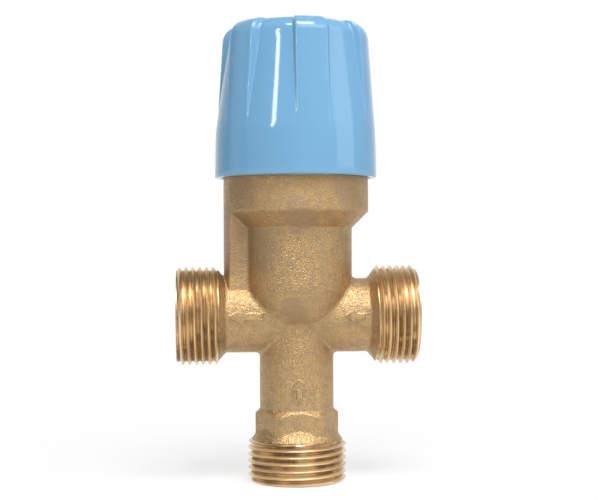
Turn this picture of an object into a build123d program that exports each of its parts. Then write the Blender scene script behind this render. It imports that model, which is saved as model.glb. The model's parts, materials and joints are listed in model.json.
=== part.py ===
from build123d import *
import math
import os

# Safety thermostat: a thermostatic mixing valve in cast brass with a plastic temperature cap.
# Millimetres. The origin is the centre of the bottom port's end face, +Z runs up the barrel,
# +X points to the hot inlet, -X to the mixed outlet, and -Y is the front.

# Ports, with the same pipe thread on all three, drawn as a cylinder of its outside diameter
side_neck_len = 4.1
port_height = 44.4
thread_d = 26.44
thread_root_d = 24.12
thread_len = 11.3
thread_lead_in = 1.0
thread_run_out = 0.7
port_bore_d = 14.0
port_mouth_chamfer = 0.8
neck_d = 19.8
neck_cone_len = 1.8

# Hexagonal collar above the bottom port
collar_flats = 20.4
collar_corner_d = 22.3
collar_low = 12.0
collar_high = 18.2
collar_chamfer_len = 1.1
flare_len = 3.4

# Barrel and head of the casting
barrel_d = 30.0
ball_rise = 9.0
step_rise = 23.4
head_d = 38.9
head_rise = 43.6
web_width = 14.4
wall = 2.2

# Waterways inside the casting
barrel_bore_d = 19.0
barrel_bore_drop = 7.4
sleeve_bore_d = 15.6
sleeve_shoulder_drop = 16.0
chamber_step = 1.0
chamber_floor_drop = 1.0
chamber_mouth = 6.0
head_wall = 3.45
bonnet_thread_len = 10.0
cast_fillet = 1.0

# Raised flow arrows on the three necks
mark_height = 0.45
mark_sink = 2.0
arrow_head_share = 0.45
arrow_shaft_share = 0.34
side_mark_len = 8.6
side_mark_width = 4.2
side_mark_x = -13.9
hot_mark_len = 4.4
hot_mark_width = 3.2
hot_mark_x = 15.0
cold_mark_len = 4.8
cold_mark_width = 3.3
cold_mark_z = 25.2

# Temperature cap
cap_overlap = 6.7
cap_height = 41.2
cap_head_gap = 0.56
cap_wall = 1.75
cap_skirt_len = 9.2
cap_skirt_draft = 0.16
cap_shoulder_len = 12.5
cap_shoulder_draft = 0.15
cap_top_draft = 1.7
cap_corner_r = 4.5
cap_roof = 3.0
lobe_count = 6
lobe_angle = 28.0
lobe_turn = 39.0
recess_mid_len = 29.2
recess_mid_depth = 1.25
recess_top_len = 36.7
recess_top_depth = 1.9
cap_boss_wall = 2.5
cap_rib_thickness = 1.6
cap_rib_height = 7.0
plug_d = 12.0
plug_thickness = 1.5
screw_head_d = 7.0
screw_head_height = 2.4
screw_d = 4.0
screw_len = 12.0
screw_slot_width = 1.0
screw_slot_depth = 1.1
screw_head_gap = 0.4
screw_web = 1.7

# Bonnet, which closes the head and carries the spindle
bonnet_hex_height = 6.0
bonnet_tower_wall = 2.5
bonnet_tower_over_roof = 3.0
bonnet_roof_rise = 15.0
bonnet_gland_wall = 4.0
bonnet_gland_len = 6.0
guide_flat_step = 1.4

# Spindle, turned by the cap
spindle_d = 10.0
spindle_thread_len = 9.0
spindle_collar_step = 2.0
spindle_collar_len = 1.5
spindle_flat_depth = 1.0
washer_thickness = 0.6
clip_thickness = 0.8
clip_groove_depth = 0.8
clip_gap_angle = 50.0
clip_boss_gap = 0.6
spindle_seal_wire = 1.3
spindle_seal_rise = [1.6, 4.0]

# Drive nut, with the overload spring and cup that it carries
nut_len = 17.0
nut_web = 6.0
nut_collar_gap = 2.4
nut_room = 3.1
nut_wall = 2.4
cup_flange_len = 1.5
cup_boss_d = 6.0
cup_boss_len = 3.0
cup_pocket_len = 3.5
snap_ring_thickness = 1.0
snap_ring_groove = 0.8
snap_ring_edge = 0.3
overload_wire_d = 1.4
overload_turns = 3.6

# Wax capsule and its pin
pin_d = 3.0
pin_in_guide = 5.0
pin_guide_spare = 3.2
capsule_cup_d = 9.6
capsule_collar_d = 12.8
capsule_cup_len = 7.0
capsule_collar_len = 2.5
capsule_neck_len = 1.1
capsule_guide_d = 6.8
capsule_guide_len = 5.2
capsule_floor_step = 0.6

# Regulating slide and the disc on its stem
gate_travel = 1.2
slide_len = 10.8
slide_wall = 2.1
slide_web = 2.0
slide_web_rise = 6.8
slide_hub_d = 6.4
slide_hole_count = 6
slide_hole_d = 3.2
slide_seal_wire = 1.5
slide_seal_rise = 4.6
stem_d = 3.0
cold_disc_overlap = 1.4
cold_disc_thickness = 1.6
spring_spigot_gap = 0.35
spring_spigot_len = 1.4

# Seat sleeve, with the hot seat at its top and the cold seat at its foot
sleeve_foot_len = 7.0
sleeve_hole_d = 8.4
sleeve_wall = 1.2
hot_seat_gap = 1.2
hot_seat_rise = 9.6
hot_seat_thickness = 1.6
sleeve_seal_wire = 1.5
sleeve_seal_rise = 3.5

# Return spring and what it stands on
return_wire_d = 1.1
return_coil_d = 8.4
return_turns = 6.0
plate_thickness = 1.2
plate_z = 12.6
plate_hole_count = 6
plate_hole_d = 2.6
plate_hub_hole_d = 4.0
ring_thickness = 1.0
ring_groove = 0.7
ring_width = 1.6
ring_gap_angle = 40.0

# Seal of the bonnet, and the clearances of moving and screwed fits
bonnet_seal_wire = 1.8
bonnet_seal_room = 1.0
running_gap = 0.05
guide_gap = 0.1
seal_gap = 0.03
groove_gap = 0.1

# Heights and radii that follow from the sizes above
port_end = barrel_d / 2 + side_neck_len + neck_cone_len + thread_len
port_root = port_end - thread_len
neck_end = port_root - neck_cone_len
ball_z = port_height + ball_rise
step_z = port_height + step_rise
head_z = step_z + (head_d - barrel_d) / 2
head_top = port_height + head_rise
bore_floor = ball_z - barrel_bore_drop
sleeve_shoulder_z = port_height - sleeve_shoulder_drop
hot_seat_z = port_height + hot_seat_rise
chamber_floor = head_z - chamber_floor_drop
bonnet_thread_d = head_d - 2 * head_wall
bonnet_hex_flats = bonnet_thread_d
chamber_d = bonnet_thread_d - 2 * chamber_step
spindle_thread_d = spindle_d - 2 * guide_gap
spindle_collar_d = spindle_d + 2 * spindle_collar_step
spindle_flats = spindle_d - 2 * spindle_flat_depth
clip_d = spindle_collar_d
clip_groove_d = spindle_d - 2 * clip_groove_depth
cap_boss_d = spindle_d + 2 * cap_boss_wall
nut_bore_d = spindle_thread_d + 2 * nut_room
guide_bore_d = nut_bore_d + 2 * (nut_wall + guide_gap)
guide_bore_flats = guide_bore_d - 2 * guide_flat_step
bonnet_gland_d = spindle_d + 2 * bonnet_gland_wall
bonnet_tower_d = guide_bore_d + 2 * bonnet_tower_wall
bonnet_roof_z = head_top + bonnet_roof_rise
bonnet_gland_top = bonnet_roof_z + bonnet_gland_len
seal_room_d = bonnet_thread_d + 2 * bonnet_seal_room
bonnet_seal_floor_d = seal_room_d - 2 * bonnet_seal_wire
cap_rim_z = head_top - cap_overlap
cap_top = cap_rim_z + cap_height
cap_rim_d = head_d + 2 * (cap_head_gap + cap_wall)
cap_skirt_d = cap_rim_d - 2 * cap_skirt_draft
cap_shoulder_d = cap_skirt_d - 2 * cap_shoulder_draft
cap_top_d = cap_shoulder_d - 2 * cap_top_draft
washer_low = bonnet_roof_z - washer_thickness
collar_bottom = washer_low - spindle_collar_len
nut_top = collar_bottom - nut_collar_gap
nut_low = nut_top - nut_len
nut_web_low = nut_top - nut_web
ring_low = nut_low + snap_ring_edge
cup_low = ring_low + snap_ring_thickness
cup_flange_top = cup_low + cup_flange_len
pin_top = cup_low + cup_pocket_len
clip_low = bonnet_gland_top + groove_gap
boss_low = clip_low + clip_thickness + clip_boss_gap
plug_low = cap_top - plug_thickness
screw_seat_z = plug_low - screw_head_gap - screw_head_height
spindle_top = screw_seat_z - screw_web
slide_d = barrel_bore_d - 2 * guide_gap
slide_bore_d = slide_d - 2 * slide_wall
hot_seat_d = barrel_bore_d - 2 * hot_seat_gap
sleeve_tube_d = sleeve_hole_d + 2 * sleeve_wall
cold_disc_d = sleeve_hole_d + 2 * cold_disc_overlap
spring_spigot_d = return_coil_d - return_wire_d - 2 * spring_spigot_gap
slide_low = hot_seat_z + gate_travel
slide_web_low = slide_low + slide_web_rise
slide_web_top = slide_web_low + slide_web
capsule_collar_z = slide_web_top + capsule_cup_len
capsule_guide_z = capsule_collar_z + capsule_collar_len + capsule_neck_len
capsule_top = capsule_guide_z + capsule_guide_len
pin_low = capsule_top - pin_in_guide
disc_top = sleeve_shoulder_z - gate_travel
disc_low = disc_top - cold_disc_thickness
plate_top = plate_z + plate_thickness
ring_z = plate_z - ring_thickness


def rod(diameter, low, high):
    """A cylinder on the Z axis between two heights."""
    return Pos(0, 0, (low + high) / 2) * Cylinder(diameter / 2, high - low)


def tube(outer_d, inner_d, low, high):
    """A hollow cylinder on the Z axis."""
    return rod(outer_d, low, high) - rod(inner_d, low, high)


def turned(points):
    """A solid of revolution about Z from (radius, height) corners."""
    return revolve(Plane.XZ * make_face(Polyline(*points, close=True)), Axis.Z)


def slab(width_y, low, high):
    """A block wider in X than any round piece, and as wide in Y as the distance over two flats."""
    return Pos(0, 0, (low + high) / 2) * Box(cap_rim_d, width_y, high - low)


def hex_prism(flats, low, high):
    """A hexagon with flats that face +Y and -Y."""
    outline = RegularPolygon(flats / 2, 6, major_radius=False)
    return Pos(0, 0, low) * extrude(outline, high - low)


def seal_ring(inner_d, wire, height):
    """A round-section sealing ring whose inside touches the floor of its groove."""
    return Pos(0, 0, height) * Torus((inner_d + wire) / 2, wire / 2)


def open_ring(outer_d, inner_d, low, thickness, gap_angle):
    """A flat spring ring with a gap on its +X side."""
    half = math.radians(gap_angle / 2)
    reach = outer_d
    wedge = make_face(Polyline((0, 0), (reach * math.cos(half), reach * math.sin(half)),
                               (reach * math.cos(half), -reach * math.sin(half)), close=True))
    return tube(outer_d, inner_d, low, low + thickness) - Pos(0, 0, low) * extrude(wedge, thickness)


def coil_spring(coil_d, wire_d, low, high, turns):
    """A helical spring that stands between two heights; coil_d is measured at the wire's centre."""
    rise = high - low - wire_d
    path = Pos(0, 0, low + wire_d / 2) * Helix(rise / turns, rise, coil_d / 2)
    section = Plane(origin=path @ 0, z_dir=path % 0) * Circle(wire_d / 2)
    return sweep(section, path=path)


def along_x(shape, side):
    """Lays a solid that stands on Z along the side ports' axis, towards +X or -X."""
    return Pos(0, 0, port_height) * Rot(0, 90 * side, 0) * shape


def port_outside(end, root, neck_low, foot):
    """Threaded end, run-out, cone and neck of a port that points along +Z and ends at end."""
    thread_r = thread_d / 2
    root_r = thread_root_d / 2
    return turned([(0, foot), (neck_d / 2, foot), (neck_d / 2, neck_low), (root_r, root),
                   (thread_r, root + thread_run_out), (thread_r, end - thread_lead_in),
                   (root_r, end), (0, end)])


def bore(low, high):
    """The waterway of a port that ends at high, with the chamfer of its mouth."""
    radius = port_bore_d / 2
    return turned([(0, low), (radius, low), (radius, high - port_mouth_chamfer),
                   (radius + port_mouth_chamfer, high), (0, high)])


def arrow(length, width):
    """A flat flow arrow that points along +X, centred on the origin."""
    head = arrow_head_share * length
    shaft = arrow_shaft_share * width / 2
    tip = length / 2
    return make_face(Polyline((-tip, -shaft), (tip - head, -shaft), (tip - head, -width / 2), (tip, 0),
                              (tip - head, width / 2), (tip - head, shaft), (-tip, shaft), close=True))


def raised_arrow(length, width, turn, x, z, neck):
    """An arrow that stands out of the front of a neck by the height of a cast mark."""
    depth = mark_sink + mark_height
    face = Plane.XZ * Rot(0, 0, turn) * arrow(length, width)
    block = extrude(face, depth, dir=(0, -1, 0))
    return Pos(x, mark_sink - neck_d / 2, z) * block & neck


def casting_outside():
    """Barrel with its ball end, head, three ports, collar, side web and cast arrows.

    The inner corners are rounded, apart from those where the web's outside meets the port's cone.
    """
    barrel_r = barrel_d / 2
    head_r = head_d / 2
    outline = Polyline((0, ball_z - barrel_r), (0, head_top), (head_r, head_top), (head_r, head_z),
                       (barrel_r, step_z), (barrel_r, ball_z))
    ball = RadiusArc((barrel_r, ball_z), (0, ball_z - barrel_r), barrel_r)
    barrel = revolve(Plane.XZ * make_face([*outline.edges(), *ball.edges()]), Axis.Z)
    side = port_outside(port_end, port_root, neck_end, 0)
    down = Rot(180, 0, 0) * port_outside(0, -thread_len, -thread_len - flare_len, -ball_z)
    collar = hex_prism(collar_flats, collar_low, collar_high + collar_chamfer_len)
    collar &= turned([(0, collar_low), (collar_corner_d / 2, collar_low), (collar_corner_d / 2, collar_high),
                      (neck_d / 2, collar_high + collar_chamfer_len), (0, collar_high + collar_chamfer_len)])
    web = rod(head_d, port_height, head_z)
    web &= Pos(-head_d / 2, 0, (port_height + head_z) / 2) * Box(head_d, web_width, head_z - port_height)
    ports = [along_x(side, 1), along_x(side, -1), down]
    rough = barrel + ports
    rough = rough.fillet(cast_fillet, new_edges(barrel, *ports, combined=rough))
    webbed = rough + web
    inner = [edge for edge in new_edges(rough, web, combined=webbed) if edge.center().X > wall - neck_end]
    webbed = webbed.fillet(cast_fillet, inner)
    marked_neck_d = neck_d + 2 * mark_height
    side_neck = along_x(rod(marked_neck_d, -neck_end, neck_end), 1)
    down_neck = rod(marked_neck_d, 0, ball_z)
    marks = [raised_arrow(side_mark_len, side_mark_width, 180, side_mark_x, port_height, side_neck),
             raised_arrow(hot_mark_len, hot_mark_width, 180, hot_mark_x, port_height, side_neck),
             raised_arrow(cold_mark_len, cold_mark_width, 90, 0, cold_mark_z, down_neck)]
    return webbed + collar + marks


def mixed_channel():
    """The passage inside the side web, from the mixing chamber down to the mixed outlet."""
    inner = barrel_bore_d / 2 + wall
    outer_d = head_d - 2 * wall
    top = chamber_floor + chamber_mouth
    height = top - port_height
    side = Pos(-inner - outer_d / 2, 0, port_height + height / 2)
    return rod(outer_d, port_height, top) & side * Box(outer_d, web_width - 2 * wall, height)


def valve_body():
    mixed_end = barrel_bore_d / 2 + wall
    body = casting_outside()
    body -= rod(sleeve_bore_d, sleeve_shoulder_z, bore_floor)
    body -= rod(barrel_bore_d, bore_floor, head_top)
    body -= rod(chamber_d, chamber_floor, head_top)
    body -= rod(bonnet_thread_d + 2 * running_gap, head_top - bonnet_thread_len - wall, head_top)
    body -= rod(seal_room_d, head_top - bonnet_seal_wire, head_top)
    body -= mixed_channel()
    body -= along_x(bore(0, port_end), 1)
    body -= along_x(bore(mixed_end, port_end), -1)
    body -= Rot(180, 0, 0) * bore(-sleeve_shoulder_z, 0)
    body -= tube(port_bore_d + 2 * ring_groove, port_bore_d - ring_groove,
                 ring_z - groove_gap / 2, ring_z + ring_thickness + groove_gap / 2)
    return body


def cap_outline(inset):
    """Half section of the cap's lobes, or of its inside when inset is the wall."""
    top_r = cap_top_d / 2 - inset
    corner = cap_corner_r
    corner_z = cap_top - corner
    sides = Polyline((0, cap_rim_z), (cap_rim_d / 2 - inset, cap_rim_z),
                     (cap_skirt_d / 2 - inset, cap_rim_z + cap_skirt_len),
                     (cap_shoulder_d / 2 - inset, cap_rim_z + cap_shoulder_len), (top_r, corner_z))
    round_edge = RadiusArc((top_r, corner_z), (top_r - corner, cap_top), -corner)
    roof = Polyline((top_r - corner, cap_top), (0, cap_top), (0, cap_rim_z))
    return make_face([*sides.edges(), *round_edge.edges(), *roof.edges()])


def recess_radius(rise, depth):
    """Radius of the recesses' floor at a height above the rim, set in from the lobes by depth."""
    shoulder_r = cap_shoulder_d / 2
    span = cap_height - cap_corner_r - cap_shoulder_len
    share = (rise - cap_shoulder_len) / span
    return shoulder_r - share * (shoulder_r - cap_top_d / 2) - depth


def recess_outline():
    """Half section between the lobes, where the side leans in and the top corner is cut back."""
    start = (cap_shoulder_d / 2, cap_rim_z + cap_shoulder_len)
    middle = (recess_radius(recess_mid_len, recess_mid_depth), cap_rim_z + recess_mid_len)
    high = (recess_radius(recess_top_len, recess_top_depth), cap_rim_z + recess_top_len)
    corner = cap_top - high[1]
    side = ThreePointArc(start, middle, high)
    round_edge = RadiusArc(high, (high[0] - corner, cap_top), -corner)
    rest = Polyline((high[0] - corner, cap_top), (0, cap_top), (0, cap_rim_z), (cap_rim_d / 2, cap_rim_z),
                    (cap_skirt_d / 2, cap_rim_z + cap_skirt_len), start)
    return make_face([*side.edges(), *round_edge.edges(), *rest.edges()])


def cap_hollow():
    """The space inside the cap, which leaves the wall even behind the recesses."""
    rim_r = cap_rim_d / 2 - cap_wall
    shoulder_r = cap_shoulder_d / 2 - cap_wall
    roof_z = cap_top - cap_roof
    top_r = recess_radius(recess_top_len, recess_top_depth) - cap_wall
    return turned([(0, cap_rim_z), (rim_r, cap_rim_z), (shoulder_r, cap_rim_z + cap_shoulder_len),
                   (top_r, cap_rim_z + recess_top_len - cap_roof), (top_r - cap_roof, roof_z), (0, roof_z)])


def temperature_cap():
    cap = revolve(Plane.XZ * recess_outline(), Axis.Z)
    lobe = revolve(Plane.XZ * cap_outline(0), Axis.Z, revolution_arc=lobe_angle)
    turns = [lobe_turn - lobe_angle / 2 + index * 360 / lobe_count for index in range(lobe_count)]
    cap += [Rot(0, 0, turn) * lobe for turn in turns]
    hollow = cap_hollow()
    roof_z = cap_top - cap_roof
    rib_low = roof_z - cap_rib_height
    rib = Box(cap_rim_d / 2, cap_rib_thickness, cap_rib_height)
    rib = Pos(cap_rim_d / 4, 0, (rib_low + roof_z) / 2) * rib
    ribs = [Rot(0, 0, lobe_turn + index * 360 / lobe_count) * rib for index in range(lobe_count)]
    boss = rod(cap_boss_d, boss_low, cap_top)
    cap -= hollow
    cap += [rib & hollow for rib in ribs]
    cap += boss
    cap -= rod(spindle_d + 2 * running_gap, boss_low, spindle_top) & slab(spindle_flats + 2 * running_gap,
                                                                        boss_low, spindle_top)
    cap -= rod(screw_d + 2 * guide_gap, spindle_top, screw_seat_z)
    cap -= rod(screw_head_d + 2 * guide_gap, screw_seat_z, plug_low)
    cap -= rod(plug_d + 2 * running_gap, plug_low, cap_top)
    return cap


def cap_plug():
    return rod(plug_d, plug_low, cap_top)


def cap_screw():
    head_top_z = screw_seat_z + screw_head_height
    screw = rod(screw_head_d, screw_seat_z, head_top_z)
    screw += rod(screw_d, screw_seat_z - screw_len, screw_seat_z)
    slot = Pos(0, 0, head_top_z) * Box(screw_head_d, screw_slot_width, 2 * screw_slot_depth)
    return screw - slot


def bonnet():
    thread_low = head_top - bonnet_thread_len
    hex_top = head_top + bonnet_hex_height
    tower_top = bonnet_roof_z + bonnet_tower_over_roof
    shape = rod(bonnet_thread_d, thread_low, head_top) + hex_prism(bonnet_hex_flats, head_top, hex_top)
    shape += rod(bonnet_tower_d, head_top, tower_top) + rod(bonnet_gland_d, tower_top, bonnet_gland_top)
    shape -= tube(seal_room_d, bonnet_seal_floor_d, head_top - bonnet_seal_wire, head_top)
    shape -= rod(guide_bore_d, thread_low, bonnet_roof_z) & slab(guide_bore_flats, thread_low, bonnet_roof_z)
    shape -= rod(spindle_d + 2 * running_gap, bonnet_roof_z, bonnet_gland_top)
    return shape


def bonnet_seal():
    return seal_ring(bonnet_seal_floor_d, bonnet_seal_wire - 2 * seal_gap, head_top - bonnet_seal_wire / 2)


def spindle_seal_heights():
    return [bonnet_roof_z + rise for rise in spindle_seal_rise]


def adjusting_spindle():
    thread_low = collar_bottom - spindle_thread_len
    shaft = rod(spindle_thread_d, thread_low, collar_bottom)
    shaft += rod(spindle_collar_d, collar_bottom, washer_low) + rod(spindle_d, washer_low, boss_low)
    shaft += rod(spindle_d, boss_low, spindle_top) & slab(spindle_flats, boss_low, spindle_top)
    groove_floor_d = spindle_d - 2 * spindle_seal_wire
    for height in spindle_seal_heights():
        half = spindle_seal_wire / 2 + groove_gap
        shaft -= tube(spindle_collar_d, groove_floor_d, height - half, height + half)
    shaft -= tube(clip_d, clip_groove_d, clip_low - groove_gap / 2,
                  clip_low + clip_thickness + groove_gap / 2)
    shaft -= rod(screw_d + 2 * running_gap, screw_seat_z - screw_len - screw_d / 2, spindle_top)
    return shaft


def spindle_seal(height):
    return seal_ring(spindle_d - 2 * spindle_seal_wire, spindle_seal_wire, height)


def spindle_clip():
    return open_ring(clip_d, clip_groove_d, clip_low, clip_thickness, clip_gap_angle)


def thrust_washer():
    return tube(spindle_collar_d, spindle_d + 2 * guide_gap, washer_low, bonnet_roof_z - seal_gap)


def drive_nut():
    outer_d = guide_bore_d - 2 * guide_gap
    flats = guide_bore_flats - 2 * guide_gap
    nut = rod(outer_d, nut_low, nut_top) & slab(flats, nut_low, nut_top)
    nut -= rod(spindle_thread_d + 2 * guide_gap, nut_web_low, nut_top)
    nut -= rod(nut_bore_d, nut_low, nut_web_low)
    nut -= tube(nut_bore_d + 2 * snap_ring_groove, nut_bore_d - snap_ring_groove,
                ring_low - groove_gap / 2, ring_low + snap_ring_thickness)
    return nut


def nut_snap_ring():
    outer_d = nut_bore_d + 2 * snap_ring_groove - 2 * running_gap
    inner_d = nut_bore_d - 4 * snap_ring_groove
    return open_ring(outer_d, inner_d, ring_low, snap_ring_thickness, clip_gap_angle)


def overload_cup():
    flange = rod(nut_bore_d - 2 * guide_gap, cup_low + seal_gap, cup_flange_top)
    cup = flange + rod(cup_boss_d, cup_flange_top, cup_flange_top + cup_boss_len)
    return cup - rod(pin_d + 2 * running_gap, cup_low, pin_top)


def overload_spring():
    coil_d = (nut_bore_d + spindle_thread_d) / 2
    return coil_spring(coil_d, overload_wire_d, cup_flange_top, nut_web_low, overload_turns)


def capsule_pin():
    return rod(pin_d, pin_low, pin_top)


def wax_capsule():
    collar_top = capsule_collar_z + capsule_collar_len
    cup_low_d = capsule_cup_d - 2 * capsule_floor_step
    shape = turned([(0, slide_web_top), (cup_low_d / 2, slide_web_top),
                    (capsule_cup_d / 2, slide_web_top + capsule_floor_step),
                    (capsule_cup_d / 2, capsule_collar_z), (capsule_collar_d / 2, capsule_collar_z),
                    (capsule_collar_d / 2, collar_top), (capsule_guide_d / 2, capsule_guide_z),
                    (capsule_guide_d / 2, capsule_top), (0, capsule_top)])
    return shape - rod(pin_d + 2 * running_gap, pin_low - pin_guide_spare, capsule_top)


def regulating_slide():
    slide = tube(slide_d, slide_bore_d, slide_low, slide_low + slide_len)
    slide += rod(slide_bore_d, slide_web_low, slide_web_top)
    slide += rod(slide_hub_d, slide_web_low - slide_web, slide_web_top)
    pitch_r = (slide_hub_d + slide_bore_d) / 4
    slide -= [Pos(x, y, slide_web_low + slide_web / 2) * Cylinder(slide_hole_d / 2, slide_web)
              for x, y in ring_points(pitch_r, slide_hole_count)]
    slide -= rod(stem_d + 2 * running_gap, slide_web_low - slide_web, slide_web_top)
    height = slide_low + slide_seal_rise
    half = slide_seal_wire / 2 + groove_gap
    return slide - tube(barrel_bore_d, slide_groove_d(), height - half, height + half)


def slide_groove_d():
    """Floor of the slide's groove, deep enough to keep its ring off the bore."""
    return barrel_bore_d - 2 * slide_seal_wire - 2 * seal_gap


def slide_seal():
    return seal_ring(slide_groove_d(), slide_seal_wire, slide_low + slide_seal_rise)


def ring_points(radius, count):
    """Points spaced evenly round the Z axis."""
    turns = [2 * math.pi * index / count for index in range(count)]
    return [(radius * math.cos(turn), radius * math.sin(turn)) for turn in turns]


def cold_disc():
    disc = rod(cold_disc_d, disc_low, disc_top) + rod(stem_d, disc_top, slide_web_top - running_gap)
    return disc + rod(spring_spigot_d, disc_low - spring_spigot_len, disc_low)


def seat_sleeve():
    foot_d = sleeve_bore_d - 2 * running_gap
    foot_top = sleeve_shoulder_z + sleeve_foot_len
    sleeve = rod(foot_d, sleeve_shoulder_z, foot_top) + rod(sleeve_tube_d, foot_top, hot_seat_z)
    sleeve += rod(hot_seat_d, hot_seat_z - hot_seat_thickness, hot_seat_z)
    sleeve -= rod(sleeve_hole_d, sleeve_shoulder_z, hot_seat_z)
    height = sleeve_shoulder_z + sleeve_seal_rise
    half = sleeve_seal_wire / 2 + groove_gap
    return sleeve - tube(sleeve_bore_d, sleeve_bore_d - 2 * sleeve_seal_wire, height - half, height + half)


def sleeve_seal():
    return seal_ring(sleeve_bore_d - 2 * sleeve_seal_wire, sleeve_seal_wire - seal_gap,
                     sleeve_shoulder_z + sleeve_seal_rise)


def return_spring():
    return coil_spring(return_coil_d, return_wire_d, plate_top, disc_low, return_turns)


def spring_plate():
    plate = rod(port_bore_d - 2 * guide_gap, plate_z, plate_top) - rod(plate_hub_hole_d, plate_z, plate_top)
    pitch_r = (plate_hub_hole_d + port_bore_d) / 4
    return plate - [Pos(x, y, plate_z + plate_thickness / 2) * Cylinder(plate_hole_d / 2, plate_thickness)
                    for x, y in ring_points(pitch_r, plate_hole_count)]


def retaining_ring():
    outer_d = port_bore_d + 2 * ring_groove - 2 * running_gap
    return open_ring(outer_d, port_bore_d - 2 * ring_width, ring_z, ring_thickness, ring_gap_angle)


def all_pieces():
    seals = spindle_seal_heights()
    return {
        "valve_body": valve_body(), "temperature_cap": temperature_cap(), "cap_plug": cap_plug(),
        "cap_screw": cap_screw(), "bonnet": bonnet(), "bonnet_seal": bonnet_seal(),
        "adjusting_spindle": adjusting_spindle(), "spindle_seal_lower": spindle_seal(seals[0]),
        "spindle_seal_upper": spindle_seal(seals[1]), "spindle_clip": spindle_clip(),
        "thrust_washer": thrust_washer(), "drive_nut": drive_nut(), "nut_snap_ring": nut_snap_ring(),
        "overload_cup": overload_cup(), "overload_spring": overload_spring(),
        "capsule_pin": capsule_pin(), "wax_capsule": wax_capsule(),
        "regulating_slide": regulating_slide(), "slide_seal": slide_seal(), "cold_disc": cold_disc(),
        "seat_sleeve": seat_sleeve(), "sleeve_seal": sleeve_seal(), "return_spring": return_spring(),
        "spring_plate": spring_plate(), "retaining_ring": retaining_ring(),
    }


os.makedirs("parts", exist_ok=True)
for name, shape in all_pieces().items():
    export_step(shape, f"parts/{name}.step")
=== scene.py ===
import json
import math

import bmesh
import bpy
from mathutils import Matrix, Vector, noise


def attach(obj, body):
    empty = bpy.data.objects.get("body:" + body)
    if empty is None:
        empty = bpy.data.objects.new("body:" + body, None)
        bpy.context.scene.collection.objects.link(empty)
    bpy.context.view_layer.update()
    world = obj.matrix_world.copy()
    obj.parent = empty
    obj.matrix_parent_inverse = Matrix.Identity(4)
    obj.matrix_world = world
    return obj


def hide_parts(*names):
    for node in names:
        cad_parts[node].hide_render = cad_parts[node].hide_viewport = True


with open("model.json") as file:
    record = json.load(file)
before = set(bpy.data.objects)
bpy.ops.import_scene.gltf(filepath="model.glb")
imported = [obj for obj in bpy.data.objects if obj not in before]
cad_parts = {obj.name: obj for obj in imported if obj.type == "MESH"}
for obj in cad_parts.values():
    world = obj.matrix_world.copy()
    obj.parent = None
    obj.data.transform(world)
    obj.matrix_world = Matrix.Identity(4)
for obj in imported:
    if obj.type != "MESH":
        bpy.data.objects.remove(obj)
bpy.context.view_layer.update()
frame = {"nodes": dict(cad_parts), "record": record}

MM = 0.001

# Main sizes of the valve, in millimetres like all sizes here
PORT_HEIGHT = 44.4
PORT_END = 32.2
THREAD_LEN = 11.3
NECK_R = 9.9


# Camera
def place_camera():
    """Level camera in front, a little to the left of the barrel's axis."""
    azimuth = math.radians(-3.96)
    distance = 350.8 * MM
    height = 61.94 * MM
    sideways = 0.79 * MM
    roll = math.radians(0.27)
    data = bpy.data.cameras.new("camera")
    data.lens = 78.26
    data.sensor_width = 36.0
    data.clip_start = 0.01
    camera = bpy.data.objects.new("camera", data)
    bpy.context.scene.collection.objects.link(camera)
    back = Vector((math.sin(azimuth), -math.cos(azimuth), 0))
    right = Vector((math.cos(azimuth), math.sin(azimuth), 0))
    up = Vector((0, 0, 1))
    turn = Matrix((right, up, back)).transposed() @ Matrix.Rotation(-roll, 3, "Z")
    place = back * distance + right * sideways + up * height
    camera.matrix_world = Matrix.Translation(place) @ turn.to_4x4()
    bpy.context.scene.camera = camera
    return back, right


# Small helpers for meshes
MERGE_DISTANCE = 0.001


def new_object(name, mesh):
    piece = bpy.data.objects.new(name, mesh)
    bpy.context.scene.collection.objects.link(piece)
    return piece


def mesh_from(name, points, faces):
    mesh = bpy.data.meshes.new(name)
    mesh.from_pydata([Vector(p) * MM for p in points], [], faces)
    return mesh


def clean(mesh):
    """Merges doubled points, and turns all the faces outwards."""
    work = bmesh.new()
    work.from_mesh(mesh)
    bmesh.ops.remove_doubles(work, verts=work.verts, dist=MERGE_DISTANCE * MM)
    bmesh.ops.dissolve_degenerate(work, edges=work.edges, dist=MERGE_DISTANCE * MM)
    bmesh.ops.recalc_face_normals(work, faces=work.faces)
    work.to_mesh(mesh)
    work.free()


def smooth(mesh, angle):
    mesh.shade_smooth()
    mesh.set_sharp_from_angle(angle=math.radians(angle))


def lofted(rings):
    """Points and faces of a surface through rings of equally many points."""
    count = len(rings[0])
    points = [p for ring in rings for p in ring]
    faces = []
    for row in range(len(rings) - 1):
        low, high = row * count, (row + 1) * count
        for col in range(count):
            nxt = (col + 1) % count
            faces.append((low + col, low + nxt, high + nxt, high + col))
    return points, faces


def smooth_step(value, low, high):
    share = min(1, max(0, (value - low) / (high - low)))
    return share * share * (3 - 2 * share)


# Node helpers
def new_material(name):
    material = bpy.data.materials.new(name)
    material.use_nodes = True
    tree = material.node_tree
    tree.nodes.clear()
    shader = tree.nodes.new("ShaderNodeBsdfPrincipled")
    output = tree.nodes.new("ShaderNodeOutputMaterial")
    tree.links.new(shader.outputs[0], output.inputs[0])
    return material, tree, shader


def object_coords(tree, stretch=(1, 1, 1)):
    coords = tree.nodes.new("ShaderNodeTexCoord")
    mapping = tree.nodes.new("ShaderNodeMapping")
    mapping.inputs["Scale"].default_value = stretch
    tree.links.new(coords.outputs["Object"], mapping.inputs[0])
    return mapping.outputs[0]


def noise_node(tree, vector, size_mm, detail, roughness, seed=0.0):
    node = tree.nodes.new("ShaderNodeTexNoise")
    node.noise_dimensions = "4D"
    node.inputs["W"].default_value = seed
    node.inputs["Scale"].default_value = 1 / (size_mm * MM)
    node.inputs["Detail"].default_value = detail
    node.inputs["Roughness"].default_value = roughness
    tree.links.new(vector, node.inputs["Vector"])
    return node.outputs["Fac"]


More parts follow.
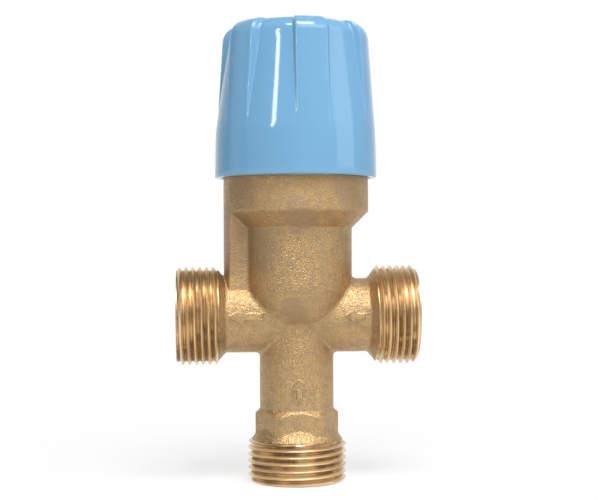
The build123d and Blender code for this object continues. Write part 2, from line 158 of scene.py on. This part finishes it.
def math_node(tree, operation, first, second, clamp=False):
    node = tree.nodes.new("ShaderNodeMath")
    node.operation = operation
    node.use_clamp = clamp
    for socket, value in zip(node.inputs, (first, second)):
        if isinstance(value, (int, float)):
            socket.default_value = value
        else:
            tree.links.new(value, socket)
    return node.outputs[0]


def range_node(tree, value, low, high, to_low=0.0, to_high=1.0):
    node = tree.nodes.new("ShaderNodeMapRange")
    for socket, number in zip(node.inputs[1:5], (low, high, to_low, to_high)):
        socket.default_value = number
    tree.links.new(value, node.inputs[0])
    return node.outputs[0]


def mix_colors(tree, share, first, second):
    node = tree.nodes.new("ShaderNodeMix")
    node.data_type = "RGBA"
    tree.links.new(share, node.inputs["Factor"])
    for label, value in (("A_Color", first), ("B_Color", second)):
        socket = next(s for s in node.inputs if s.identifier == label)
        if isinstance(value, tuple):
            socket.default_value = (*value, 1)
        else:
            tree.links.new(value, socket)
    return next(s for s in node.outputs if s.identifier == "Result_Color")


def bump_node(tree, height, distance_mm, strength):
    node = tree.nodes.new("ShaderNodeBump")
    node.inputs["Strength"].default_value = strength
    node.inputs["Distance"].default_value = distance_mm * MM
    tree.links.new(height, node.inputs["Height"])
    return node.outputs[0]


def attribute_node(tree, name):
    node = tree.nodes.new("ShaderNodeAttribute")
    node.attribute_name = name
    return node.outputs["Fac"]


def patches(tree, vector, spots, ragged):
    """Soft-edged patches with a ragged outline, each given by its centre and size in millimetres."""
    joined = None
    for centre, size in spots:
        node = tree.nodes.new("ShaderNodeVectorMath")
        node.operation = "DISTANCE"
        tree.links.new(vector, node.inputs[0])
        node.inputs[1].default_value = Vector(centre) * MM
        reach = math_node(tree, "ADD", range_node(tree, node.outputs["Value"], 0, size * MM), ragged)
        spot = range_node(tree, reach, PATCH_END, PATCH_START)
        joined = spot if joined is None else math_node(tree, "MAXIMUM", joined, spot)
    return joined


# Finishes: colours, and the centres and sizes of the patches; a patch fades between two shares of its size
PATCH_START = 0.75
PATCH_END = 1.15
CAST_DARK = (0.525, 0.345, 0.165)
CAST_LIGHT = (0.58, 0.386, 0.187)
# Lighter brass for the necks: partly cleaner metal, partly a painted highlight for the lit tops of the necks
CAST_NECK_CLEAN_AND_SHEEN = (0.67, 0.455, 0.223)
CAST_GRAIN = (0.33, 0.205, 0.095)
# Stain colour, also used as painted shade under the head's cone
CAST_STAIN_AND_SHADE = (0.30, 0.225, 0.155)
THREAD_DARK = (0.89, 0.71, 0.455)
THREAD_LIGHT = (0.93, 0.77, 0.52)
THREAD_TARNISH = (0.57, 0.335, 0.145)
THREAD_DIRT = (0.17, 0.105, 0.06)
TURNED_DARK = (0.78, 0.52, 0.24)
TURNED_LIGHT = (0.84, 0.60, 0.31)
PLASTIC_DARK = (0.152, 0.335, 0.520)
PLASTIC_LIGHT = (0.160, 0.352, 0.545)
# Grey-brown stain patches; the first, on the front under the head's cone, also paints the shade that falls
# there
BRASS_STAINS_AND_SHADE = [((0.3, -17.0, 70.2), 5.0), ((-1.0, -19.4, 73.4), 3.0), ((-9.5, -12.0, 61.5), 6.0),
                ((-1.0, -10.5, 47.5), 5.0), ((13.0, 12.0, 60.0), 6.0), ((-6.0, 14.0, 66.0), 5.0),
                ((-8.0, 6.0, 24.0), 5.0), ((5.0, 19.0, 78.0), 5.0), ((-19.0, -7.0, 65.0), 11.0),
                ((-17.0, -13.0, 77.0), 6.5), ((13.0, -16.0, 79.0), 6.0)]
# Necks painted lighter: partly cleaner brass, partly a painted highlight standing in for the lit tops of the
# necks
NECK_CLEAN_AND_SHEEN_SPOTS = [((-19.0, 0.0, 44.4), 16.5), ((19.0, 0.0, 44.4), 15.5), ((0.0, 0.0, 19.0), 18.0)]
THREAD_STAINS = [((-23.5, -9.0, 36.5), 6.0), ((-30.0, -6.0, 34.0), 4.0), ((24.0, -9.0, 51.0), 4.0),
                 ((27.5, -11.0, 42.0), 3.5), ((29.0, -8.0, 36.0), 4.0), ((7.5, -11.0, 5.5), 4.5),
                 ((-4.0, -12.0, 8.0), 4.0), ((-9.5, -9.0, 5.0), 3.0), ((3.0, 12.0, 6.0), 5.0),
                 ((25.0, 9.0, 40.0), 6.0), ((-26.0, 9.0, 50.0), 5.0)]


def cast_brass():
    """Blasted casting: grainy matt brass, lighter on the necks (partly cleaner brass, partly a painted
    highlight for the lit necks), with faint grey-brown stain patches, one of which also paints the shade
    under the head's cone.
    """
    material, tree, shader = new_material("cast_brass")
    coords = object_coords(tree)
    fine = noise_node(tree, coords, size_mm=0.27, detail=1.0, roughness=0.6)
    grain = noise_node(tree, coords, size_mm=0.55, detail=2.0, roughness=0.6, seed=3.0)
    broad = noise_node(tree, coords, size_mm=9.0, detail=2.0, roughness=0.5, seed=7.0)
    edge = noise_node(tree, coords, size_mm=2.2, detail=4.0, roughness=0.7, seed=11.0)
    ragged = range_node(tree, edge, 0.25, 0.75, -0.5, 0.5)
    # Stains, and painted shade under the head's cone
    stain_and_shade = math_node(tree, "MULTIPLY", patches(tree, coords, BRASS_STAINS_AND_SHADE, ragged), 0.42)
    # Painted highlight on the necks, partly cleaner brass: the base colour turns lighter there
    bright = patches(tree, coords, NECK_CLEAN_AND_SHEEN_SPOTS, math_node(tree, "MULTIPLY", ragged, 0.3))
    tone = mix_colors(tree, range_node(tree, broad, 0.35, 0.65), CAST_DARK, CAST_LIGHT)
    tone = mix_colors(tree, bright, tone, CAST_NECK_CLEAN_AND_SHEEN)
    tone = mix_colors(tree, range_node(tree, fine, 0.40, 0.62, 0.0, 0.62), tone, CAST_GRAIN)
    tone = mix_colors(tree, stain_and_shade, tone, CAST_STAIN_AND_SHADE)
    tree.links.new(tone, shader.inputs["Base Color"])
    shader.inputs["Metallic"].default_value = 0.95
    rough = range_node(tree, grain, 0.3, 0.7, 0.32, 0.42)
    rough = math_node(tree, "ADD", rough, math_node(tree, "MULTIPLY", stain_and_shade, 0.2))
    tree.links.new(rough, shader.inputs["Roughness"])
    height = math_node(tree, "ADD", fine, grain)
    tree.links.new(bump_node(tree, height, distance_mm=0.20, strength=1.0), shader.inputs["Normal"])
    return material


def machined_brass():
    """Cut threads and end faces: bright brass with streaks along the thread, and dirt in some grooves."""
    material, tree, shader = new_material("machined_brass")
    coords = object_coords(tree)
    depth = attribute_node(tree, "groove")
    broad = noise_node(tree, coords, size_mm=6.0, detail=2.0, roughness=0.55, seed=5.0)
    fine = noise_node(tree, coords, size_mm=1.4, detail=1.0, roughness=0.5, seed=2.0)
    tone = mix_colors(tree, range_node(tree, broad, 0.35, 0.65), THREAD_DARK, THREAD_LIGHT)
    wander = math_node(tree, "MULTIPLY", broad, 0.5)
    wander = math_node(tree, "ADD", attribute_node(tree, "along_thread"), wander)
    lines = tree.nodes.new("ShaderNodeTexNoise")
    lines.noise_dimensions = "1D"
    lines.inputs["Scale"].default_value = 2.4
    tree.links.new(wander, lines.inputs["W"])
    tarnish = math_node(tree, "ADD", range_node(tree, depth, 0.2, 1.0, 0.0, 0.3),
                        range_node(tree, lines.outputs["Fac"], 0.42, 0.64, 0.0, 0.6))
    tone = mix_colors(tree, tarnish, tone, THREAD_TARNISH)
    spots = patches(tree, coords, THREAD_STAINS, range_node(tree, broad, 0.25, 0.75, -0.4, 0.4))
    dirt = math_node(tree, "MULTIPLY", range_node(tree, depth, 0.55, 1.0), spots)
    dirt = math_node(tree, "MULTIPLY", dirt, range_node(tree, fine, 0.25, 0.6, 0.60, 0.9))
    tone = mix_colors(tree, dirt, tone, THREAD_DIRT)
    tree.links.new(tone, shader.inputs["Base Color"])
    shader.inputs["Metallic"].default_value = 1.0
    rough = math_node(tree, "ADD", range_node(tree, broad, 0.3, 0.7, 0.28, 0.36),
                      math_node(tree, "MULTIPLY", dirt, 0.35))
    tree.links.new(rough, shader.inputs["Roughness"])
    return material


def turned_brass():
    """Inner turned pieces: clean brass with fine turning lines."""
    material, tree, shader = new_material("turned_brass")
    turned = object_coords(tree, stretch=(0.05, 0.05, 1))
    lines = noise_node(tree, turned, size_mm=0.12, detail=1.0, roughness=0.5)
    broad = noise_node(tree, object_coords(tree), size_mm=4.0, detail=2.0, roughness=0.5, seed=4.0)
    tone = mix_colors(tree, broad, TURNED_DARK, TURNED_LIGHT)
    tree.links.new(tone, shader.inputs["Base Color"])
    shader.inputs["Metallic"].default_value = 1.0
    tree.links.new(range_node(tree, lines, 0.3, 0.7, 0.18, 0.32), shader.inputs["Roughness"])
    tree.links.new(bump_node(tree, lines, distance_mm=0.01, strength=0.6), shader.inputs["Normal"])
    return material


def cap_plastic():
    """Glossy light blue moulded plastic with a very slight orange peel."""
    material, tree, shader = new_material("cap_plastic")
    coords = object_coords(tree)
    broad = noise_node(tree, coords, size_mm=12.0, detail=2.0, roughness=0.5, seed=1.0)
    tone = mix_colors(tree, broad, PLASTIC_DARK, PLASTIC_LIGHT)
    tree.links.new(tone, shader.inputs["Base Color"])
    peel = noise_node(tree, coords, size_mm=1.8, detail=1.0, roughness=0.5, seed=6.0)
    tree.links.new(range_node(tree, peel, 0.3, 0.7, 0.07, 0.10), shader.inputs["Roughness"])
    tree.links.new(bump_node(tree, peel, distance_mm=0.012, strength=0.5), shader.inputs["Normal"])
    shader.inputs["IOR"].default_value = 1.5
    return material


def plain_finish(name, color_a, color_b, size_mm, rough, metal=0.0, bump_mm=0.02):
    """Two close tones in fine noise, for the small inner pieces."""
    material, tree, shader = new_material(name)
    grain = noise_node(tree, object_coords(tree), size_mm, detail=2.0, roughness=0.6)
    tree.links.new(mix_colors(tree, grain, color_a, color_b), shader.inputs["Base Color"])
    uneven = range_node(tree, grain, 0.3, 0.7, rough - 0.06, rough + 0.06)
    tree.links.new(uneven, shader.inputs["Roughness"])
    shader.inputs["Metallic"].default_value = metal
    tree.links.new(bump_node(tree, grain, bump_mm, strength=0.5), shader.inputs["Normal"])
    return material


# Threads
PITCH = 1.814
CREST_R = 13.22
ROOT_R = 12.06
BORE_R = 7.0
BORE_CHAMFER = 0.8
LEAD_IN = 1.0
RUN_OUT = 0.7
SKIRT_LEN = 0.35
SKIRT_OUT_R = ROOT_R - 0.9
SKIRT_IN_R = BORE_R + 0.15
THREAD_COLUMNS = 180
MIXED_CREST = 0.79
HOT_CREST = 1.30
COLD_CREST = 0.89
# One pitch of the thread: how far from the crest, and how deep, as shares of the pitch and the depth
THREAD_FORM = [(0.0, 0.0), (0.035, 0.02), (0.060, 0.075), (0.15, 0.31), (0.24, 0.545), (0.33, 0.78),
               (0.395, 0.95), (0.435, 0.99), (0.5, 1.0), (0.565, 0.99), (0.605, 0.95), (0.67, 0.78),
               (0.76, 0.545), (0.85, 0.31), (0.94, 0.075), (0.965, 0.02)]


def outside_radius(from_end):
    """Radius of the uncut port at a distance from its end face."""
    depth = CREST_R - ROOT_R
    lead = ROOT_R + depth * min(1, from_end / LEAD_IN)
    run = ROOT_R + depth * min(1, (THREAD_LEN - from_end) / RUN_OUT)
    return min(lead, run)


def port_mesh(name, end, towards, crest_at, axis, start, side, origin):
    """A port's threaded end, from its end face to where the neck's cone begins.

    The thread is right-handed about axis, with a crest at crest_at in the direction of start. A skirt
    goes a little way into the casting.
    """
    turns = math.ceil(THREAD_LEN / PITCH) + 2
    low_limit, high_limit = sorted((end, end - towards * THREAD_LEN))
    first = math.floor((low_limit - crest_at) / PITCH) - 1
    form = len(THREAD_FORM)
    points, deep, along_thread = [], [], []

    def add(along, radius, angle, groove, lead=0.0):
        if along == end:
            groove = lead = 0.0
        across = start * math.cos(angle) + side * math.sin(angle)
        points.append(origin + axis * along + across * radius)
        deep.append(groove)
        along_thread.append(along - lead)

    rows = form * (turns + 1)
    for column in range(THREAD_COLUMNS):
        angle = 2 * math.pi * column / THREAD_COLUMNS
        for row in range(rows):
            share, cut = THREAD_FORM[row % form]
            along = crest_at + PITCH * (first + row // form + share + column / THREAD_COLUMNS)
            along = min(max(along, low_limit), high_limit)
            outer = outside_radius(abs(end - along))
            radius = min(outer, CREST_R - cut * (CREST_R - ROOT_R))
            lead = PITCH * column / THREAD_COLUMNS
            add(along, radius, angle, (CREST_R - radius) / (CREST_R - ROOT_R), lead)
    faces = []
    for column in range(THREAD_COLUMNS):
        wrapped = column + 1 == THREAD_COLUMNS
        shift = form if wrapped else 0
        here, there = column * rows, (0 if wrapped else (column + 1) * rows)
        for row in range(rows - 1):
            if row + 1 + shift < rows:
                faces.append((here + row, here + row + 1, there + row + 1 + shift, there + row + shift))
    inner_end = end - towards * THREAD_LEN
    skirt_end = inner_end - towards * SKIRT_LEN
    rims = [(end, ROOT_R), (end, BORE_R + BORE_CHAMFER), (end - towards * BORE_CHAMFER, BORE_R),
            (inner_end, BORE_R), (skirt_end, SKIRT_IN_R), (skirt_end, SKIRT_OUT_R), (inner_end, ROOT_R)]
    base = len(points)
    for along, radius in rims:
        for column in range(THREAD_COLUMNS):
            add(along, radius, 2 * math.pi * column / THREAD_COLUMNS, 0.0)
    for ring in range(len(rims) - 1):
        for column in range(THREAD_COLUMNS):
            nxt = (column + 1) % THREAD_COLUMNS
            a, b = base + ring * THREAD_COLUMNS, base + (ring + 1) * THREAD_COLUMNS
            faces.append((a + column, a + nxt, b + nxt, b + column))
    mesh = mesh_from(name, points, faces)
    for label, values in (("groove", deep), ("along_thread", along_thread)):
        mesh.attributes.new(label, "FLOAT", "POINT").data.foreach_set("value", values)
    clean(mesh)
    return mesh


def threaded_ends():
    x, y, z = Vector((1, 0, 0)), Vector((0, 1, 0)), Vector((0, 0, 1))
    middle = z * PORT_HEIGHT
    return [port_mesh("mixed_end", -PORT_END, -1, MIXED_CREST, x, y, z, middle),
            port_mesh("hot_end", PORT_END, 1, HOT_CREST, x, y, z, middle),
            port_mesh("cold_end", 0.0, -1, COLD_CREST, z, x, y, Vector((0, 0, 0)))]


# Casting: the size of its even mesh, its rounding, and the waves per millimetre and height of its unevenness
VOXEL = 0.27
ROUNDING_STEPS = 3
KEPT_SHARE = 0.24
BROAD_WAVES, BROAD_HEIGHT = 0.45, 0.07
FINE_WAVES, FINE_HEIGHT = 1.3, 0.035
FINE_SHIFT = Vector((9, 4, 2))
# Edges sharper than these angles in degrees stay sharp
SHARP_THREAD = 35
SHARP_CASTING = 50
SHARP_CAP = 55


def cast_surface():
    """The casting's surface from the CAD solid, with its edges rounded as in sand casting."""
    source = frame["nodes"]["valve_body"]
    draft = new_object("draft", source.data.copy())
    remesh = draft.modifiers.new("even", "REMESH")
    remesh.mode = "VOXEL"
    remesh.voxel_size = VOXEL * MM
    soften = draft.modifiers.new("soften", "SMOOTH")
    soften.factor = 0.5
    soften.iterations = ROUNDING_STEPS
    fewer = draft.modifiers.new("fewer", "DECIMATE")
    fewer.ratio = KEPT_SHARE
    graph = bpy.context.evaluated_depsgraph_get()
    mesh = bpy.data.meshes.new_from_object(draft.evaluated_get(graph))
    bpy.data.objects.remove(draft)
    work = bmesh.new()
    work.from_mesh(mesh)
    cut = PORT_END - THREAD_LEN
    threads_off = [((cut, 0, 0), (1, 0, 0)), ((-cut, 0, 0), (-1, 0, 0)), ((0, 0, THREAD_LEN), (0, 0, -1))]
    for point, normal in threads_off:
        geometry = work.verts[:] + work.edges[:] + work.faces[:]
        bmesh.ops.bisect_plane(work, geom=geometry, plane_co=Vector(point) * MM, plane_no=normal,
                               clear_outer=True)
    for vert in work.verts:
        place = vert.co / MM
        uneven = noise.noise(place * BROAD_WAVES) * BROAD_HEIGHT
        uneven += noise.noise(place * FINE_WAVES + FINE_SHIFT) * FINE_HEIGHT
        vert.co += vert.normal * uneven * MM
    work.to_mesh(mesh)
    work.free()
    mesh.materials.clear()
    return mesh


# Flow arrows: name, X and Z of the middle, length, width, and whether the arrow points up instead of to -X
ARROWS = [("mixed_arrow", -13.9, PORT_HEIGHT, 8.9, 4.5, False),
          ("hot_arrow", 15.0, PORT_HEIGHT, 4.7, 3.5, False),
          ("cold_arrow", 0.0, 25.2, 5.1, 3.6, True)]
ARROW_RISE = 0.95
ARROW_SINK = 0.6
ARROW_BEVEL = 0.12
ARROW_HEAD = 0.45
ARROW_SHAFT = 0.34
ARROW_CELLS = 8


def arrow_mesh(name, middle_x, middle_z, length, width, upward):
    """Raised flow arrow on the front of a neck, cut into cells and wrapped on the neck's round."""
    half, shaft, head = width / 2, width * ARROW_SHAFT / 2, length / 2 - length * ARROW_HEAD
    outline = [(length / 2, 0.0), (head, half), (head, shaft), (-length / 2, shaft),
               (-length / 2, -shaft), (head, -shaft), (head, -half)]
    count = len(outline)
    points, faces = [], [tuple(range(2 * count, 3 * count)), tuple(reversed(range(count)))]
    for rise, inset in ((-ARROW_SINK, 0.0), (ARROW_RISE - ARROW_BEVEL, 0.0), (ARROW_RISE, ARROW_BEVEL)):
        points += [(x * (1 - 2 * inset / length), rise, y * (1 - 2 * inset / width)) for x, y in outline]
    for low in (0, count):
        for col in range(count):
            nxt = (col + 1) % count
            faces.append((low + col, low + nxt, low + count + nxt, low + count + col))
    mesh = mesh_from(name, points, faces)
    work = bmesh.new()
    work.from_mesh(mesh)
    for step in range(1 - ARROW_CELLS // 2, ARROW_CELLS // 2):
        for axis, size in (((1, 0, 0), length), ((0, 0, 1), width)):
            geometry = work.verts[:] + work.edges[:] + work.faces[:]
            place = Vector(axis) * (step * size / ARROW_CELLS * MM)
            bmesh.ops.bisect_plane(work, geom=geometry, plane_co=place, plane_no=axis)
    for vert in work.verts:
        x, rise, y = vert.co / MM
        bend, out = y / NECK_R, NECK_R + rise
        front, across = -out * math.cos(bend), out * math.sin(bend)
        if upward:
            place = (middle_x + across, front, middle_z + x)
        else:
            place = (middle_x - x, front, middle_z + across)
        vert.co = Vector(place) * MM
    work.to_mesh(mesh)
    work.free()
    clean(mesh)
    return mesh


def build_casting():
    ends = threaded_ends()
    arrows = [arrow_mesh(*row) for row in ARROWS]
    parts = [new_object("part", part) for part in [cast_surface(), *ends, *arrows]]
    for part in parts:
        part.data.materials.clear()
        part.data.materials.append(MACHINED if part.data in ends else CAST)
        for label in ("groove", "along_thread"):
            if label not in part.data.attributes:
                part.data.attributes.new(label, "FLOAT", "POINT")
        smooth(part.data, SHARP_THREAD if part.data in ends else SHARP_CASTING)
    with bpy.context.temp_override(active_object=parts[0], selected_editable_objects=parts,
                                   selected_objects=parts, object=parts[0]):
        bpy.ops.object.join()
    casting = parts[0]
    casting.name = casting.data.name = "casting"
    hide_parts("valve_body")
    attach(casting, "valve")


# Temperature cap: rises are above the rim, and the lobes' angles are in degrees
CAP_LOW = 81.3
CAP_HEIGHT = 41.2
LOBES = 6
LOBE_STEP = 360 / LOBES
LOBE_TURN = 38.7
LOBE_HALF = 11.8
STEEP_WALL = 3.0
GENTLE_WALL = 5.6
LEAST_WALL = 0.1
FULL_DEPTH = 1.9
LOBE_TAPER = 1.7
TOP_CORNER = 4.5
CORNER_RISE = 36.7
SHOULDER_RISE = 12.5
SHOULDER_R = 21.45
PLUG_R = 6.0
SIDE_ROWS = 24
CORNER_ROWS = 14
# Depth of the recesses: the share that eases in at the shoulder, where it begins and ends, and its scale
SOFT_SHARE = 0.4
SOFT_LOW = SHOULDER_RISE - 5
SOFT_HIGH = CORNER_RISE + 14
SOFT_SCALE = 1.37
SOFT_DROP = 0.062
# Radius and rise of the skirt, and of the inside from the screw's hole to the rim
SKIRT = [(20.3, 0.0), (21.45, 0.0), (21.68, 0.12), (21.76, 0.4), (21.72, 2.5), (21.68, 5.0),
         (21.63, 7.5), (21.58, 9.2), (21.53, 10.5), (21.49, 11.6)]
PLUG_EDGE = [(PLUG_R + 0.3, CAP_HEIGHT), (PLUG_R + 0.1, CAP_HEIGHT - 0.2), (PLUG_R + 0.05, CAP_HEIGHT - 1.5)]
INSIDE = [(5.05, CAP_HEIGHT - 1.5), (5.05, 30.0), (7.5, 29.1), (7.5, 38.2), (13.0, 38.2),
          (16.0, 33.7), (19.7, 12.5), (20.01, 0.3), (20.3, 0.0)]
# Columns round the cap, from a lobe's middle: on its face, and in the recess
FACE_STEPS = (-9.5, -6.0, -2.5, 0.0, 2.5, 6.0, 9.5, 11.0)
RECESS_STEPS = (20.5, 23.5, 26.5, 29.5, 32.5, 35.5, 38.5, 41.5)
# Columns on the walls, from the edge of a lobe's face
GENTLE_STEPS = (0.3, 0.7, 1.1, 1.5, 1.9, 2.3, 2.7, 3.2, 3.8, 4.4, 5.0, 5.6, 6.2)
STEEP_STEPS = GENTLE_STEPS[:9]
LAST_FACE_STEP = 11.0


def lobe_radius(rise):
    return SHOULDER_R - LOBE_TAPER * (rise - SHOULDER_RISE) / (CORNER_RISE - SHOULDER_RISE)


def recess_share(rise):
    """Depth of the recess floor below the lobes, as a share of its depth at the top."""
    soft = smooth_step(rise, SOFT_LOW, SOFT_HIGH) * SOFT_SCALE - SOFT_DROP
    even = (rise - SHOULDER_RISE) / (CORNER_RISE - SHOULDER_RISE)
    return SOFT_SHARE * soft + (1 - SOFT_SHARE) * even


def cap_profile(recess):
    """Radius and rise from the rim's inside edge, up the side, to the plug."""
    side = list(SKIRT)
    for step in range(SIDE_ROWS + 1):
        rise = SHOULDER_RISE + (CORNER_RISE - SHOULDER_RISE) * step / SIDE_ROWS
        side.append((lobe_radius(rise) - FULL_DEPTH * recess_share(rise) * recess, rise))
    top_r = side[-1][0]
    for step in range(1, CORNER_ROWS + 1):
        turn = math.pi / 2 * step / CORNER_ROWS
        side.append((top_r - TOP_CORNER * (1 - math.cos(turn)), CORNER_RISE + TOP_CORNER * math.sin(turn)))
    flat = top_r - TOP_CORNER
    plug_edge_r = PLUG_EDGE[0][0]
    for share in (0.25, 0.5, 0.75):
        side.append((flat + (plug_edge_r - flat) * share, CAP_HEIGHT))
    return side + PLUG_EDGE


def lobe_share(angle, depth_share):
    """1 on a lobe, 0 in a recess, and in between on the walls, which narrow as the recess gets shallow."""
    off = (angle - LOBE_TURN + LOBE_STEP / 2) % LOBE_STEP - LOBE_STEP / 2
    if off < 0:
        away, wall = -off - LOBE_HALF, STEEP_WALL
    else:
        away, wall = off - LOBE_HALF, GENTLE_WALL
    return 1 - smooth_step(away, 0, wall * max(LEAST_WALL, depth_share))


def cap_angles():
    """Angles round the cap, close together where the walls are."""
    angles = []
    for lobe in range(LOBES):
        middle = LOBE_TURN + lobe * LOBE_STEP
        angles += [middle + step for step in FACE_STEPS]
        angles += [middle + LOBE_HALF + step for step in GENTLE_STEPS]
        angles += [middle + step for step in RECESS_STEPS]
        angles += [middle + LOBE_STEP - LOBE_HALF - step for step in reversed(STEEP_STEPS)]
        angles += [middle + LOBE_STEP - LAST_FACE_STEP]
    return [angle % 360 for angle in angles]


def build_cap():
    lobe, recess = cap_profile(0), cap_profile(1)
    angles = cap_angles()
    rings = []
    for (lobe_r, lobe_rise), (recess_r, recess_rise) in zip(lobe, recess):
        depth_share = recess_share(min(max(lobe_rise, SHOULDER_RISE), CORNER_RISE))
        ring = []
        for angle in angles:
            share = lobe_share(angle, depth_share)
            radius = recess_r + (lobe_r - recess_r) * share
            rise = recess_rise + (lobe_rise - recess_rise) * share
            turn = math.radians(angle)
            ring.append((radius * math.cos(turn), radius * math.sin(turn), CAP_LOW + rise))
        rings.append(ring)
    turns = [math.radians(angle) for angle in angles]
    for radius, rise in INSIDE:
        rings.append([(radius * math.cos(turn), radius * math.sin(turn), CAP_LOW + rise) for turn in turns])
    points, faces = lofted(rings)
    mesh = mesh_from("cap", points, faces)
    clean(mesh)
    smooth(mesh, SHARP_CAP)
    mesh.materials.append(PLASTIC)
    cap = new_object("cap", mesh)
    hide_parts("temperature_cap")
    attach(cap, "handle")


# Floor, background and lights: half the floor's width in metres, the reach of its shadow in millimetres,
# and the greys of the room
FLOOR_REACH_M = 6.0
FLOOR_GREY = (0.9, 0.9, 0.9, 1)
SHADOW_NEAR = 40.0
SHADOW_FAR = 150.0
SHADOW_SHARE = 0.25
STUDIO_LEFT = (0.10, 0.105, 0.11)
STUDIO_RIGHT = (0.37, 0.38, 0.39)
SIDE_SPREAD = 0.8
BACK_START, BACK_FULL = 0.45, 0.9
# Name, azimuth to the camera's right and elevation in degrees, distance, width and height in metres,
# power in watts, and roll in degrees
LAMPS = [("top_light", 12, 62, 0.9, 0.50, 0.26, 6.8, 0),
         ("front_light", 26, 42, 1.0, 0.7, 0.35, 2.3, 0),
         ("strip_light", -31, 22.5, 0.8, 0.070, 0.25, 1.0, -16),
         ("right_light", 75, 25, 0.9, 0.5, 0.8, 1.7, 0),
         ("left_light", -95, 20, 1.0, 0.4, 0.7, 0.3, 0)]
LAMP_TARGET = Vector((0, 0, 65.0)) * MM


def seen_white(tree, shader, glow, share=1.0):
    """Mixes plain white into what the camera, reflections and refractions see, and lights nothing."""
    path = tree.nodes.new("ShaderNodeLightPath")
    glossy = math_node(tree, "ADD", path.outputs["Is Glossy Ray"], path.outputs["Is Transmission Ray"])
    glossy = math_node(tree, "MULTIPLY", glossy, share)
    seen = math_node(tree, "ADD", path.outputs["Is Camera Ray"], glossy, clamp=True)
    glow.inputs["Color"].default_value = (1, 1, 1, 1)
    glow.inputs["Strength"].default_value = 1.0
    mix = tree.nodes.new("ShaderNodeMixShader")
    tree.links.new(seen, mix.inputs[0])
    tree.links.new(shader, mix.inputs[1])
    tree.links.new(glow.outputs[0], mix.inputs[2])
    return mix.outputs[0]


def build_floor():
    """White floor that shows a faint shadow close to the object, and is plain white further off."""
    mesh = bpy.data.meshes.new("floor")
    reach = FLOOR_REACH_M
    corners = [(-reach, -reach, 0), (reach, -reach, 0), (reach, reach, 0), (-reach, reach, 0)]
    mesh.from_pydata(corners, [], [(0, 1, 2, 3)])
    floor = new_object("floor", mesh)
    material = bpy.data.materials.new("floor")
    material.use_nodes = True
    tree = material.node_tree
    tree.nodes.clear()
    plain = tree.nodes.new("ShaderNodeBsdfDiffuse")
    plain.inputs["Color"].default_value = FLOOR_GREY
    away = tree.nodes.new("ShaderNodeVectorMath")
    away.operation = "LENGTH"
    tree.links.new(object_coords(tree), away.inputs[0])
    shadow = range_node(tree, away.outputs["Value"], SHADOW_NEAR * MM, SHADOW_FAR * MM, SHADOW_SHARE, 0.0)
    white = seen_white(tree, plain.outputs[0], tree.nodes.new("ShaderNodeEmission"))
    mix = tree.nodes.new("ShaderNodeMixShader")
    tree.links.new(shadow, mix.inputs[0])
    tree.links.new(white, mix.inputs[1])
    tree.links.new(plain.outputs[0], mix.inputs[2])
    output = tree.nodes.new("ShaderNodeOutputMaterial")
    tree.links.new(mix.outputs[0], output.inputs[0])
    mesh.materials.append(material)


def build_world():
    """Grey studio, darker to the left and in front, with a white background behind the object."""
    world = bpy.data.worlds.new("studio")
    bpy.context.scene.world = world
    world.use_nodes = True
    tree = world.node_tree
    tree.nodes.clear()
    coords = tree.nodes.new("ShaderNodeTexCoord")
    direction = tree.nodes.new("ShaderNodeSeparateXYZ")
    tree.links.new(coords.outputs["Generated"], direction.inputs[0])
    across = range_node(tree, direction.outputs["X"], -SIDE_SPREAD, SIDE_SPREAD)
    tone = mix_colors(tree, across, STUDIO_LEFT, STUDIO_RIGHT)
    studio = tree.nodes.new("ShaderNodeBackground")
    tree.links.new(tone, studio.inputs["Color"])
    behind = range_node(tree, direction.outputs["Y"], BACK_START, BACK_FULL)
    white = tree.nodes.new("ShaderNodeBackground")
    output = tree.nodes.new("ShaderNodeOutputWorld")
    tree.links.new(seen_white(tree, studio.outputs[0], white, behind), output.inputs[0])


def softbox(back, right, name, azimuth, elevation, distance, width, height, power, roll):
    """A soft light that faces the object, placed from the camera's backward and right directions."""
    data = bpy.data.lights.new(name, "AREA")
    data.shape = "RECTANGLE"
    data.size = width
    data.size_y = height
    data.energy = power
    light = bpy.data.objects.new(name, data)
    bpy.context.scene.collection.objects.link(light)
    turn, rise = math.radians(azimuth), math.radians(elevation)
    away = back * math.cos(turn) * math.cos(rise) + right * math.sin(turn) * math.cos(rise)
    away += Vector((0, 0, math.sin(rise)))
    light.location = LAMP_TARGET + away * distance
    facing = away.to_track_quat("Z", "Y").to_matrix() @ Matrix.Rotation(math.radians(roll), 3, "Z")
    light.rotation_euler = facing.to_euler()


camera_back, camera_right = place_camera()
CAST = cast_brass()
MACHINED = machined_brass()
PLASTIC = cap_plastic()
FINISHES = {
    "cast_brass": CAST,
    "turned_brass": turned_brass(),
    "cap_plastic": PLASTIC,
    "washer_plastic": plain_finish("washer_plastic", (0.80, 0.79, 0.75), (0.72, 0.71, 0.67), 0.8, 0.45),
    "seal_rubber": plain_finish("seal_rubber", (0.018, 0.018, 0.019), (0.032, 0.032, 0.034), 0.4, 0.55),
    "steel": plain_finish("steel", (0.56, 0.56, 0.57), (0.66, 0.66, 0.67), 0.35, 0.28, 1.0, 0.01),
}
for row in frame["record"]["subparts"]:
    node = frame["nodes"][row["node"]]
    node.data.materials.clear()
    node.data.materials.append(FINISHES[row["material_slot"]])

build_casting()
build_cap()
build_floor()
build_world()
for lamp in LAMPS:
    softbox(camera_back, camera_right, *lamp)

bpy.context.scene.view_settings.view_transform = "Standard"
